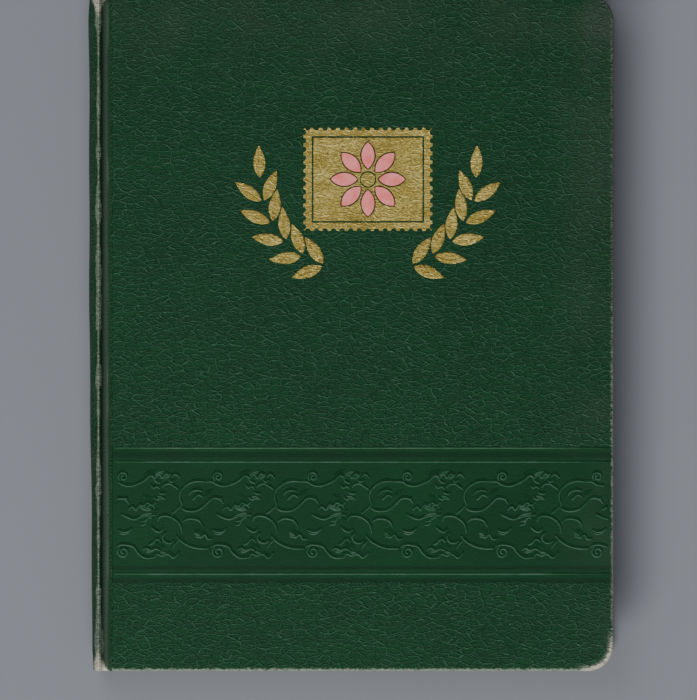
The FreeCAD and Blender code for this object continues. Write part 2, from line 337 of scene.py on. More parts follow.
def leatherette(name, wear_masks, smooth_band=False):
    """Green crinkle leatherette, with a painted highlight on the grain's lines and painted shade beside
    them; wear_masks gives the rubbed, worn and bare shares of the surface.
    """
    pal = colours()
    finish = Finish(name, Specular_IOR_Level=0.14)
    line, fine = crinkle(finish)
    x, y, z = finish.parts()
    mottle = finish.noise((0.035, 0.05, 0.05), 4, 0.6)
    green = finish.mix(finish.step(mottle, 0.3, 0.72), shade(pal.green, 0.8), pal.green)
    if smooth_band:
        tail = FRONT_LOW.y / MM
        low = tail + sizes().band_low / MM - 2.6
        high = tail + sizes().band_high / MM + 2.6
        edge = (finish.noise((0.15, 0.15, 0.15), 2) - 0.5) * 0.6
        above_low, above_high = (finish.step(y + edge, rim - 0.4, rim + 0.4) for rim in (low, high))
        plain = above_low * (1 - above_high)
        line = line * (1 - plain * 0.93)
        # Painted shade: dark lines in the groove between the two upper rules and on both sides of the lower
        # rule, where the raised rules shade the cloth
        groove = 1 - finish.step(abs(y - tail - sizes().band_high / MM), 0.5, 1.3)
        for offset in (-1.9, 1.9):
            rule_shadow = 1 - finish.step(abs(y - tail - sizes().band_low / MM + offset), 0.3, 0.9)
            groove = groove.math("MAXIMUM", rule_shadow)
        # The smooth band also takes a fifth of this dark green, so it is a little darker overall
        green = finish.mix((groove * 0.75).math("MAXIMUM", plain * 0.2), green, pal.shade_green)
    else:
        plain = joint_groove(finish, x, z)
        line = line * (1 - plain * 0.85)
    # Painted shade: darker green on a narrow margin beside each grain line
    beside = finish.step(line, 0.0, 0.12) * (1 - finish.step(line, 0.15, 0.4))
    base = finish.mix(beside * 0.75, green, pal.shade_green)
    # Painted highlight: lighter green on the grain's lines and on the tops of the fine roughness
    base = finish.mix(finish.step(line, 0.15, 0.8) * 0.74, base, pal.highlight_green)
    base = finish.mix(finish.step(fine, 0.55, 0.9) * 0.25 * (1 - plain), base, pal.highlight_green)
    rubbed, worn, bare = wear_masks(finish, x, y, z)
    base = finish.mix(rubbed, base, pal.rubbed)
    # On the spine and joints the worn share also holds a painted highlight streak
    base = finish.mix(worn, base, pal.worn)
    base = finish.mix(bare, base, pal.bare)
    finish.feed("Base Color", base)
    finish.feed("Roughness", 0.5 + fine * 0.2 + worn * 0.25 + rubbed * 0.15)
    finish.bump(line * 0.8 + fine * 0.25 * (1 - plain * 0.7) + (1 - worn) * 0.35, 0.46 * MM)
    return finish.material


def highlit_pressed_leatherette():
    """Leatherette on the band's raised lines and leaves, lighter green as a painted highlight on their lit
    tops.
    """
    pal = colours()
    finish = Finish("highlit_pressed_leatherette", Specular_IOR_Level=0.2)
    patch = finish.noise((0.2, 0.5, 0.3), 4, 0.65)
    fine = finish.noise((1.6, 2.4, 2.0), 3, 0.6)
    light = finish.step(patch * 0.7 + fine * 0.3, 0.35, 0.68)
    # Painted highlight: both greens here are lighter than the cover's, in soft patches
    base = finish.mix(light, shade(pal.green, 1.2), shade(pal.highlight_green, 0.68))
    finish.feed("Base Color", base)
    finish.feed("Roughness", 0.4 + fine * 0.2)
    finish.bump(fine, 0.05 * MM)
    return finish.material


def painted_shadow_leatherette():
    """Painted shadow: dark leatherette beside the band's raised lines and leaves, on their head side away
    from the key light.
    """
    pal = colours()
    finish = Finish("painted_shadow_leatherette", Specular_IOR_Level=0.1)
    patch = finish.noise((0.3, 0.5, 0.3), 4, 0.65)
    dark, light = (shade(pal.green, share) for share in (0.6, 0.86))
    finish.feed("Base Color", finish.mix(finish.step(patch, 0.35, 0.65), dark, light))
    finish.feed("Roughness", 0.6 + patch * 0.2)
    return finish.material


def cover_wear(finish, x, y, z):
    """Wear of a cover: scuffed fore edge and tail, a bare tail corner and a rubbed grip."""
    radius = sizes().corner_radius / MM
    half = FRONT_HIGH.y / MM
    fore = FRONT_HIGH.x / MM
    over_x = (x - (fore - radius)).math("MAXIMUM", 0.0)
    over_y = (abs(y) - (half - radius)).math("MAXIMUM", 0.0)
    inside = radius - (over_x * over_x + over_y * over_y).math("SQRT")
    nibble = finish.noise((0.9, 0.9, 0.9), 4, 0.7)
    lower = 0.45 + 0.55 * (1 - finish.step(y, -30.0, 45.0))
    from_corner = (x - fore + 3.0) ** 2.0 + (y + half - 3.5) ** 2.0
    corner = 1 - finish.step(from_corner, 9.0, 95.0)
    rough_edge = inside + (nibble - 0.5) * 2.6
    worn = (1 - finish.step(rough_edge, 0.15, 1.05)) * lower
    worn = worn.math("MAXIMUM", (1 - finish.step(rough_edge, 0.4, 2.6)) * corner)
    bare = (1 - finish.step(rough_edge - corner * 1.2, -0.3, 0.35)) * corner
    grip = finish.step(x, fore - 24.0, fore - 4.0) * (0.35 + 0.4 * finish.step(y, 10.0, 90.0))
    patches = finish.step(finish.noise((0.05, 0.05, 0.05), 3), 0.3, 0.7)
    rubbed = (grip + 0.45 * finish.step(y, half - 34.0, half)) * patches
    below = z.math("MINIMUM", TOP / MM - z)
    arris = 1 - 0.85 * finish.step(below + (nibble - 0.5) * 1.2, 0.5, 1.3)
    return (rubbed * 0.7).math("MINIMUM", 0.8), worn.math("MINIMUM", 0.95) * arris, bare * arris


def spine_wear(finish, x, y, z):
    """Wear of the spine and joints: a rubbed ridge from head to tail and bare head and tail tips, plus a
    painted highlight streak in the front joint groove.
    """
    half = FRONT_HIGH.y / MM
    middle = MIDDLE / MM
    ridge = RIDGE_X / MM
    rise = abs(z - middle)
    near = abs(x - ridge + 0.1) + (rise * -1.0 + (middle - 0.15)).math("MAXIMUM", 0.0) * 0.22
    ragged = finish.noise((0.4, 0.14, 0.4), 4, 0.65)
    fine = finish.noise((1.4, 0.9, 1.4), 3, 0.7)
    broad = finish.step(finish.noise((0.05, 0.09, 0.05), 3, 0.6), 0.46, 0.66) * 0.9
    broad = broad + 0.8 * finish.step(abs(y) - 0.1 * y, half - 24.0, half + 4.0)
    reach = near - ragged - broad + (fine - 0.5) * 0.5
    worn = (1 - finish.step(reach, -0.45, 0.2)) * (0.35 + 0.5 * finish.step(fine, 0.35, 0.6))
    fade = ((abs(y) - half) / 3.2).math("EXPONENT") * 3.4
    beside = abs(x - ridge + 0.2) + (fine - 0.5) * 1.6 - fade
    bare = (1 - finish.step(beside, -0.7, 0.5)) * finish.step(fade, 0.25, 0.9) * finish.step(rise, 3.0, 5.5)
    groove = joint_groove(finish, x, z)
    rubbed = (groove * 0.62).math("MAXIMUM", 0.5 * finish.step(ragged, 0.4, 0.75))
    # Painted highlight: a broken light streak along the front groove's flank, laid in the worn colour
    glint_patches = finish.step(finish.noise((0.3, 0.05, 0.3), 3), 0.4, 0.65)
    glint = (1 - finish.step(abs(x - FRONT_AXIS.x / MM - 0.85), 0.1, 0.6)) * glint_patches
    return rubbed, worn.math("MAXIMUM", groove * glint * 0.2), bare


def gold_leaf():
    """Gold foil pressed on the grain, thinner and darker where it is rubbed."""
    pal = colours()
    finish = Finish("stamped_gold", Metallic=1.0)
    line, fine = crinkle(finish)
    cloud = finish.noise((0.1, 0.22, 0.2), 4, 0.65)
    streak = finish.noise((0.9, 1.7, 1.0), 5, 0.75)
    # Brighter foil in clouds and streaks, plus a small painted highlight on the lit side of the grain's
    # lines
    bright = finish.step(cloud * 0.35 + streak * 0.65 + line * 0.12, 0.42, 0.78)
    base = finish.mix(bright, pal.gold, pal.gold_light)
    loss = finish.step(finish.noise((1.1, 1.8, 1.0), 4, 0.75), 0.64, 0.72)
    base = finish.mix(loss * 0.7, base, shade(pal.gold, 0.3))
    finish.feed("Base Color", base)
    finish.feed("Metallic", 1 - loss * 0.7)
    finish.feed("Roughness", 0.3 + fine * 0.2 + loss * 0.2)
    finish.bump(line * 0.6 + fine * 0.6 + streak * 0.9, 0.3 * MM)
    return finish.material


def pink_leaf():
    """Pink pigment foil, chipped to the gold."""
    pal = colours()
    finish = Finish("stamped_pink", Specular_IOR_Level=0.5)
    chips = finish.step(finish.noise((0.9, 1.2, 1.0), 4, 0.7), 0.62, 0.68)
    cloud = finish.noise((0.3, 0.3, 0.3), 3)
    base = finish.mix(finish.step(cloud, 0.3, 0.7), pal.pink, tuple(0.1 + 0.9 * c for c in pal.pink))
    finish.feed("Base Color", finish.mix(chips * 0.8, base, pal.gold))
    finish.feed("Roughness", 0.42 + cloud * 0.2)
    finish.bump(finish.noise((1.2, 2.0, 1.0), 3), 0.04 * MM)
    return finish.material


def pulp(name, main, dark, fibre=1.0, browned=0.0):
    """Paper, card or board: short fibres, faint clouds and, on leaves, browned outer edges."""
    finish = Finish(name, Specular_IOR_Level=0.25)
    fibres = finish.noise((2.4 * fibre, 0.7 * fibre, 1.6), 4, 0.65)
    specks = finish.step(finish.noise((1.6, 1.6, 1.6), 2, 0.8), 0.7, 0.78)
    clouds = finish.noise((0.03, 0.03, 0.2), 4, 0.6)
    base = finish.mix(finish.step(clouds, 0.3, 0.75) * 0.35, main, dark)
    base = finish.mix(finish.step(fibres, 0.5, 0.8) * 0.18 + specks * 0.14, base, dark)
    if browned:
        x, y = finish.parts()[:2]
        ragged = (clouds - 0.5) * 14.0
        side = finish.step(x + ragged, FRONT_HIGH.x / MM - 22.0, FRONT_HIGH.x / MM - 1.0)
        ends = finish.step(abs(y) + ragged, FRONT_HIGH.y / MM - 22.0, FRONT_HIGH.y / MM - 1.0)
        base = finish.mix(side.math("MAXIMUM", ends) * browned, base, dark)
    finish.feed("Base Color", base)
    finish.feed("Roughness", 0.78 + fibres * 0.16)
    finish.bump(fibres, 0.03 * MM)
    return finish.material


def endpaper():
    """Endpaper with a small all-over marbled vein."""
    pal = colours()
    finish = Finish("veined_endpaper", Specular_IOR_Level=0.25)
    sway = finish.noise((0.07, 0.07, 0.07), 3, 0.6, 1.2)
    vein = 1 - finish.step(abs(sway - 0.5), 0.0, 0.035)
    fibres = finish.noise((2.0, 0.8, 1.5), 4, 0.65)
    base = finish.mix(finish.step(sway, 0.35, 0.65) * 0.4, pal.paper, shade(pal.paper, 0.72))
    base = finish.mix(vein * 0.45, base, (0.16, 0.22, 0.15))
    base = finish.mix(finish.step(fibres, 0.55, 0.85) * 0.25, base, shade(pal.paper, 0.6))
    finish.feed("Base Color", base)
    finish.feed("Roughness", 0.74 + fibres * 0.18)
    finish.bump(fibres, 0.025 * MM)
    return finish.material


def woven(name, main, pitch):
    """Plain woven linen or thread, pitch in threads per millimetre."""
    finish = Finish(name, Specular_IOR_Level=0.2)
    x, y, z = finish.parts()
    slub = (finish.noise((0.6, 0.6, 0.6), 3) - 0.5) * 0.5
    turn = 2 * math.pi * pitch
    warp = ((x + z + slub) * turn).math("SINE") * 0.5 + 0.5
    weft = ((y + slub) * turn).math("SINE") * 0.5 + 0.5
    weave = warp * weft + (1 - warp) * (1 - weft)
    stain = finish.noise((0.1, 0.1, 0.1), 3)
    base = finish.mix(weave * 0.55, shade(main, 0.62), main)
    finish.feed("Base Color", finish.mix(finish.step(stain, 0.4, 0.8) * 0.3, base, shade(main, 0.7)))
    finish.feed("Roughness", 0.85 + weave * 0.1)
    finish.bump(weave, 0.06 * MM)
    return finish.material


def film(name, clear):
    """Glassine: smooth translucent paper with faint fibres and ripples."""
    pal = colours()
    finish = Finish(name, Specular_IOR_Level=0.5)
    fibres = finish.noise((1.8, 0.6, 1.0), 3, 0.6)
    ripple = finish.noise((0.05, 0.018, 0.05), 2)
    base = finish.mix(fibres * 0.4, pal.glassine, shade(pal.glassine, 0.82))
    finish.feed("Base Color", base)
    finish.feed("Alpha", (1 - clear) + fibres * 0.12)
    finish.feed("Roughness", 0.26 + fibres * 0.18)
    finish.bump(ripple * 0.9 + fibres * 0.06, 0.25 * MM)
    return finish.material


def floor_finish():
    """Pale matte studio floor."""
    finish = Finish("studio_floor", Specular_IOR_Level=0.15)
    cloud = finish.noise((0.004, 0.004, 0.004), 3)
    base = finish.mix(cloud * 0.25, colours().floor, shade(colours().floor, 0.9))
    finish.feed("Base Color", base)
    finish.feed("Roughness", 0.85 + cloud * 0.1)
    return finish.material


def put(name, data):
    """A new object in the scene for a mesh, curve, light or camera."""
    holder = bpy.data.objects.new(name, data)
    bpy.context.scene.collection.objects.link(holder)
    return holder


def add_piece(name, mesh, material, smooth=True):
    """Put a finished mesh in the scene."""
    mesh.update()
    piece = put(name, mesh)
    mesh.materials.clear()
    mesh.materials.append(material)
    for face in mesh.polygons:
        face.use_smooth = smooth
    return piece


def mesh_of(name, build):
    """A mesh filled by a function that works on a bmesh, with its normals turned out."""
    shape = bmesh.new()
    build(shape)
    bmesh.ops.remove_doubles(shape, verts=shape.verts, dist=1e-7)
    bmesh.ops.recalc_face_normals(shape, faces=shape.faces)
    mesh = bpy.data.meshes.new(name)
    shape.to_mesh(mesh)
    shape.free()
    return mesh


def skin(shape, rows, closed=False):
    """Quads between rows of points; closed rows join their ends."""
    rows = [[shape.verts.new(point) for point in row] for row in rows]
    for first, second in zip(rows, rows[1:]):
        count = len(first)
        for index in range(count if closed else count - 1):
            after = (index + 1) % count
            shape.faces.new((first[index], first[after], second[after], second[index]))
    return rows


def closed_skin(shape, rows):
    """A closed body: rings of points joined by quads, with a face at each end."""
    rings = skin(shape, rows, closed=True)
    shape.faces.new(rings[0])
    shape.faces.new(rings[-1])


def cover_outline(low, high, inset, radius, z):
    """Outline of a cover drawn in by inset, with round corners at the fore edge."""
    small = 0.4 * MM
    points = []
    corners = (
        (high.x - inset, high.y - inset, max(radius - inset, small), 0),
        (low.x + inset, high.y - inset, small, 90),
        (low.x + inset, low.y + inset, small, 180),
        (high.x - inset, low.y + inset, max(radius - inset, small), 270),
    )
    for x, y, round_radius, start in corners:
        side_x = -1 if start in (0, 270) else 1
        side_y = -1 if start in (0, 90) else 1
        centre = (x + side_x * round_radius, y + side_y * round_radius)
        for share in range(15):
            turn = math.radians(start + 90 * share / 14)
            points.append(
                (centre[0] + round_radius * math.cos(turn), centre[1] + round_radius * math.sin(turn), z)
            )
    return points


def cloth_shell(low, high, outward):
    """Closed shell of cloth round a board; outward is 1 when its outer face looks up."""
    size = sizes()
    cloth = size.cloth_thickness
    thick = high.z - low.z
    face = high.z if outward > 0 else low.z
    path = []
    for share in range(7):
        turn = math.radians(90 * share / 6)
        path.append((size.edge_round * (1 - math.sin(turn)), size.edge_round * (1 - math.cos(turn))))
    inner_round = size.edge_round * 0.6
    for share in range(5):
        turn = math.radians(90 * share / 4)
        path.append((inner_round * (1 - math.cos(turn)), thick - inner_round * (1 - math.sin(turn))))
    path += [(size.turn_in, thick), (size.turn_in, thick - cloth), (cloth, thick - cloth), (cloth, cloth)]

    def build(shape):
        rings = [
            cover_outline(low, high, inset, size.corner_radius, face - outward * depth)
            for inset, depth in path
        ]
        closed_skin(shape, rings)

    return build


def ridge_profile(axis, outward):
    """Middle line of a joint's cloth in X and Z, from the spine's ridge through the groove to the board."""
    size = sizes()
    face = axis.z + outward * (TOP - FRONT_AXIS.z)
    radius = size.groove_radius + size.cloth_thickness / 2
    points = [
        (RIDGE_X - 0.25 * MM, face - outward * 0.36 * MM),
        (RIDGE_X + 0.02 * MM, face - outward * 0.3 * MM),
        (RIDGE_X + 0.3 * MM, face - outward * 0.62 * MM),
    ]
    for share in range(9):
        turn = math.radians(172 + (368 - 172) * share / 8)
        points.append((axis.x + radius * math.cos(turn), axis.z + outward * radius * math.sin(turn)))
    edge = FRONT_LOW.x
    points += [
        (edge - 0.28 * MM, axis.z + outward * 0.2 * MM),
        (edge - 0.1 * MM, axis.z + outward * 0.45 * MM),
        (edge + 0.12 * MM, face - outward * 0.5 * MM),
    ]
    return points


def band_of(profile, low_y, high_y, thickness, count, sway):
    """Closed strip of cloth that runs a profile in X and Z from tail to head."""
    normals = []
    for index in range(len(profile)):
        before = profile[max(index - 1, 0)]
        after = profile[min(index + 1, len(profile) - 1)]
        run = Vector((after[0] - before[0], after[1] - before[1])).normalized()
        normals.append((-run.y, run.x))
    half = thickness / 2
    loop = [(x + nx * half, z + nz * half) for (x, z), (nx, nz) in zip(profile, normals)]
    loop += [(x - nx * half, z - nz * half) for (x, z), (nx, nz) in reversed(list(zip(profile, normals)))]

    def build(shape):
        rows = []
        for index in range(count + 1):
            y = low_y + (high_y - low_y) * index / count
            rows.append([(x + sway(x, y), y, z) for x, z in loop])
        closed_skin(shape, rows)

    return build


def spine_profile(depth=0.0):
    """Line in X and Z at a depth in the spine's round, from the back ridge to the front one."""
    cloth = sizes().cloth_thickness
    half = MIDDLE - 0.1 * MM
    bulge = RIDGE_X - SPINE_LOW.x
    radius = half * half / (2 * bulge) + bulge / 2
    centre = RIDGE_X - bulge + radius
    reach = math.asin(half / radius) * (0.8 if depth else 1.0)
    line = radius - cloth / 2 - depth
    points = []
    for share in range(33):
        turn = reach * (2 * share / 32 - 1)
        points.append((centre - line * math.cos(turn), MIDDLE + line * math.sin(turn)))
    return points


def spine_sway(x, y):
    """Slight unevenness of the handled spine, strongest at its outermost line."""
    share = max(0.0, min(1.0, (RIDGE_X - x) / (RIDGE_X - SPINE_LOW.x)))
    along = (y - SPINE_LOW.y) / (SPINE_HIGH.y - SPINE_LOW.y)
    drift = (0.8 - 1.2 * along) * MM + 0.16 * MM * math.sin(9 * along) + 0.09 * MM * math.sin(31 * along)
    tips = 0.5 * MM * (math.exp(-(along / 0.02) ** 2) + math.exp(-((1 - along) / 0.02) ** 2))
    return share * (drift + tips)


def no_sway(x, y):
    """A straight strip."""
    return 0.0


def leaf_form(shape, start, heading, long, wide, level, relief, vein=0.45):
    """A pointed leaf with a sunk vein, closed underneath."""
    steps, across = 14, (-1.0, -0.86, -0.5, -0.07, 0.0, 0.07, 0.5, 0.86, 1.0)
    rise = (0.0, 1.0, 1.1, 1.05, 1.05 - vein, 1.05, 1.1, 1.0, 0.0)
    ahead = Vector((math.cos(heading), math.sin(heading), 0))
    aside = Vector((-ahead.y, ahead.x, 0))
    rows = []
    for index in range(steps + 1):
        share = index / steps
        half = wide / 2 * math.sin(math.pi * share ** 0.85) ** 0.9 + 0.02 * MM
        middle = Vector((start[0], start[1], level)) + ahead * long * share
        row = [middle + aside * half * side + Vector((0, 0, relief * up)) for side, up in zip(across, rise)]
        row += [middle + aside * half * side - Vector((0, 0, relief)) for side in reversed(across)]
        rows.append(row)
    closed_skin(shape, rows)


def mesh_from(curve):
    """The mesh of a curve, which isn't needed after that."""
    holder = put(curve.name, curve)
    bpy.context.view_layer.update()
    mesh = bpy.data.meshes.new_from_object(holder)
    bpy.data.objects.remove(holder)
    bpy.data.curves.remove(curve)
    return mesh


def plate_mesh(name, outlines, level, relief):
    """Flat raised foil between closed outlines, with softly rounded rims."""
    curve = bpy.data.curves.new(name, "CURVE")
    curve.dimensions = "2D"
    curve.fill_mode = "BOTH"
    rim = relief * 0.45
    curve.extrude = relief / 2 - rim / 2
    curve.bevel_depth = rim
    curve.bevel_resolution = 2
    curve.offset = -rim
    for outline in outlines:
        spline = curve.splines.new("POLY")
        spline.points.add(len(outline) - 1)
        for point, (x, y) in zip(spline.points, outline):
            point.co = (x, y, 0, 1)
        spline.use_cyclic_u = True
    mesh = mesh_from(curve)
    for vertex in mesh.vertices:
        vertex.co.z += level
    return mesh


def line_mesh(name, strokes, width, level, relief):
    """Raised lines with round tops along smooth strokes of points in X and Y."""
    curve = bpy.data.curves.new(name, "CURVE")
    curve.dimensions = "3D"
    curve.bevel_depth = width
    curve.bevel_resolution = 2
    curve.resolution_u = 8
    curve.use_fill_caps = True
    for stroke in strokes:
        spline = curve.splines.new("BEZIER")
        spline.bezier_points.add(len(stroke) - 1)
        count = len(stroke)
        for index, (knot, (x, y)) in enumerate(zip(spline.bezier_points, stroke)):
            knot.co = (x, y, 0)
            knot.handle_left_type = knot.handle_right_type = "AUTO"
            knot.radius = 0.6 if count > 2 and index in (0, count - 1) else 1.0
    mesh = mesh_from(curve)
    for vertex in mesh.vertices:
        vertex.co.z = level + vertex.co.z * relief / width
    return mesh


def spiral(x, y, radius, turns, start, hand):
    """Points of a curl that winds in to its centre; start is in degrees."""
    points = []
    count = int(turns * 8)
    for index in range(count + 1):
        share = index / count
        turn = math.radians(start) + hand * 2 * math.pi * turns * share
        reach = radius * (1 - 0.82 * share)
        points.append((x + reach * math.cos(turn), y + reach * math.sin(turn)))
    return points


# One repeat of the traditional leafy scroll, in millimetres from its left end and its middle line
SCROLL_LINES = (
    (
        (-0.4, 10.4), (1.9, 10.4), (3.5, 9.5), (5.9, 9.1),
        (8.0, 9.7), (10.4, 10.9), (12.4, 12.3), (13.6, 11.5),
    ),
    ((12.6, 12.2), (14.0, 10.4), (15.2, 9.9)),
    ((13.6, 11.5), (14.9, 12.7), (15.8, 11.6), (17.1, 12.9), (18.0, 11.7)),
    ((18.8, 12.0), (19.8, 12.7), (21.3, 11.5)),
    ((15.7, 8.6), (16.6, 9.5), (18.1, 9.8), (19.5, 9.0), (21.0, 8.0)),
    ((14.6, 7.2), (15.6, 6.7), (17.0, 6.8)),
    ((13.2, 5.6), (14.2, 4.9), (15.2, 5.3), (16.8, 5.0)),
    ((21.9, 3.2), (21.2, 5.6), (21.5, 7.4), (22.8, 8.9), (24.6, 10.1), (26.7, 10.6), (29.4, 10.4)),
    (
        (21.6, 2.3), (22.8, 1.6), (24.6, 1.3), (26.7, 1.6),
        (28.4, 2.6), (29.9, 4.0), (31.4, 5.2), (34.4, 5.2),
    ),
    ((18.5, 0.4), (19.8, 1.3), (21.9, 3.2)),
    ((25.0, 4.8), (25.6, 5.2), (27.0, 6.3), (28.4, 5.6)),
    ((24.0, 6.2), (24.7, 7.2), (26.4, 7.8), (28.2, 7.5)),
    ((0.2, 3.4), (1.8, 5.2), (4.2, 5.0), (5.4, 3.6)),
    ((5.2, 1.6), (6.6, 2.6), (7.6, 1.7), (9.0, 3.2), (10.2, 2.0), (12.4, 3.4), (13.4, 2.2)),
    ((3.1, 0.3), (5.0, -0.6), (7.1, -1.2), (8.9, -0.6), (10.4, -0.3)),
    ((8.9, -3.0), (10.4, -2.7), (11.2, -0.9), (12.7, -0.8)),
    ((14.4, -1.8), (15.1, -0.5), (17.2, -0.2), (19.5, -1.1), (21.2, -2.8), (21.9, -5.5)),
    ((22.1, -2.1), (23.4, -1.2), (25.5, -1.1), (27.3, -1.8), (28.3, -3.6)),
    ((12.3, -3.6), (13.3, -4.5), (14.8, -5.1), (16.1, -4.3)),
    ((2.0, -4.6), (3.8, -5.2), (5.6, -4.8), (6.4, -4.0)),
    ((20.1, -6.3), (21.3, -7.7), (23.4, -9.1), (25.8, -10.0), (28.1, -10.3), (30.4, -10.3)),
    ((1.4, -10.0), (2.8, -9.2), (4.7, -9.2), (6.8, -9.8), (8.2, -11.6), (10.3, -13.1), (13.3, -13.1)),
    ((13.3, -13.1), (14.2, -12.0), (15.7, -12.5), (17.5, -12.0), (19.2, -13.1), (21.0, -11.6)),
    ((9.6, -10.8), (11.0, -10.2), (12.2, -10.9), (13.8, -10.4), (15.2, -11.0)),
    ((25.8, -6.6), (27.9, -6.7), (29.0, -6.1), (29.9, -7.3), (31.4, -7.3)),
    ((31.7, -5.4), (33.2, -5.8), (35.0, -5.2)),
    ((18.8, -10.4), (19.5, -9.2), (21.0, -7.7)),
    ((16.9, -5.5), (15.9, -6.6), (16.4, -8.0), (18.0, -8.6), (19.6, -7.9)),
    ((8.8, 3.6), (10.0, 3.0), (11.2, 3.9), (12.6, 3.2), (13.9, 4.2)),
    ((9.2, -2.0), (10.8, -1.5), (12.2, -0.2), (14.0, 0.2)),
    ((11.4, -9.2), (12.8, -8.6), (14.2, -7.4), (15.4, -8.4)),
    ((15.0, 8.2), (14.2, 8.9), (13.0, 8.6), (12.2, 9.4)),
    ((17.6, 11.0), (18.4, 10.4), (19.6, 10.9)),
)
# Curls of the scroll: X, Y, radius, turns, start in degrees and hand
SCROLL_CURLS = ((3.7, 12.0, 1.6, 1.5, 230, -1), (3.7, -11.3, 1.9, 1.5, 120, 1))
# Leaves of the scroll, then dark patches of painted shadow beside it: start, heading in degrees, length and
# width
SCROLL_LEAVES = (
    ((13.4, 12.4), 25, 3.6, 1.2),
    ((16.4, 11.2), 38, 2.8, 1.0),
    ((12.6, 1.7), 168, 4.4, 1.4),
    ((12.9, 0.8), 195, 4.6, 1.3),
    ((14.0, 6.0), 345, 2.8, 1.0),
    ((25.6, -5.2), 320, 3.2, 1.2),
    ((10.4, -11.4), 15, 3.4, 1.2),
    ((15.0, -11.2), 340, 3.2, 1.1),
)
# Dark patches of painted shadow beside the scroll's leaves and curls
SCROLL_SHADOWS = (
    ((9.8, 12.4), 24, 4.8, 1.5),
    ((15.2, 12.4), 5, 4.0, 2.0),
    ((14.4, 8.9), 18, 3.4, 1.1),
    ((9.2, 2.6), 352, 5.4, 1.5),
    ((9.0, -0.4), 352, 5.0, 1.1),
    ((12.6, 5.0), 150, 3.4, 1.2),
    ((28.4, 6.2), 32, 3.8, 1.4),
    ((13.0, -7.8), 330, 4.4, 1.4),
    ((10.6, -11.6), 6, 5.4, 1.5),
    ((16.0, -11.4), 350, 4.0, 1.4),
    ((25.4, -4.4), 345, 3.8, 1.2),
)


class ALBUM_OT_covers(bpy.types.Operator):
    """Cloth of the front and back covers."""

    bl_idname = "album.covers"
    bl_label = "Cover cloth"

    def execute(self, context):
        finish = leatherette("cover_leatherette", cover_wear, smooth_band=True)
        for name, low, high, outward, body in (
            ("front_cover_cloth", FRONT_LOW, FRONT_HIGH, 1, "front_cover"),
            ("back_cover_cloth", BACK_LOW, BACK_HIGH, -1, "back_cover"),
        ):
            piece = add_piece(name, mesh_of(name, cloth_shell(low, high, outward)), finish)
            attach(piece, body)
            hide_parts(body.replace("cover", "cloth"))
        return {"FINISHED"}


class ALBUM_OT_spine(bpy.types.Operator):
    """Round cloth of the spine."""

    bl_idname = "album.spine"
    bl_label = "Spine cloth"

    def execute(self, context):
        finish = leatherette("spine_leatherette", spine_wear)
        pal = colours()
        card = pulp("spine_card", pal.board, pal.card_dark, 0.8)
        cloth = sizes().cloth_thickness
        card_thickness = 0.9 * MM
        card_depth = cloth + card_thickness / 2
        for name, depth, thickness, end, material, node, slot in (
            ("spine_round", 0.0, cloth, 0.0, finish, "spine_cloth", "green_leatherette"),
            ("spine_stiffener", card_depth, card_thickness, 1.2 * MM, card, "spine_inlay", "grey_board"),
        ):
            build = band_of(
                spine_profile(depth), SPINE_LOW.y + end, SPINE_HIGH.y - end, thickness, 120, spine_sway
            )
            piece = add_piece(name, mesh_of(name, build), material)
            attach(piece, "spine")
            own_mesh(piece)
            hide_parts(node)
        return {"FINISHED"}


class ALBUM_OT_joints(bpy.types.Operator):
    """Cloth in the two pressed joints."""

    bl_idname = "album.joints"
    bl_label = "Joint cloth"

    def execute(self, context):
        material = "spine_leatherette"
        finish = bpy.data.materials.get(material) or leatherette(material, spine_wear)
        size = sizes()
        for name, axis, outward, cover in (
            ("front_joint", FRONT_AXIS, 1, "front_cover"),
            ("back_joint", BACK_AXIS, -1, "back_cover"),
        ):
            profile = ridge_profile(axis, outward)
            build = band_of(profile, FRONT_LOW.y, FRONT_HIGH.y, size.cloth_thickness, 60, no_sway)
            piece = add_piece(name, mesh_of(name, build), finish)
            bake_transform(piece)
            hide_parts(name + "_cloth")
        return {"FINISHED"}


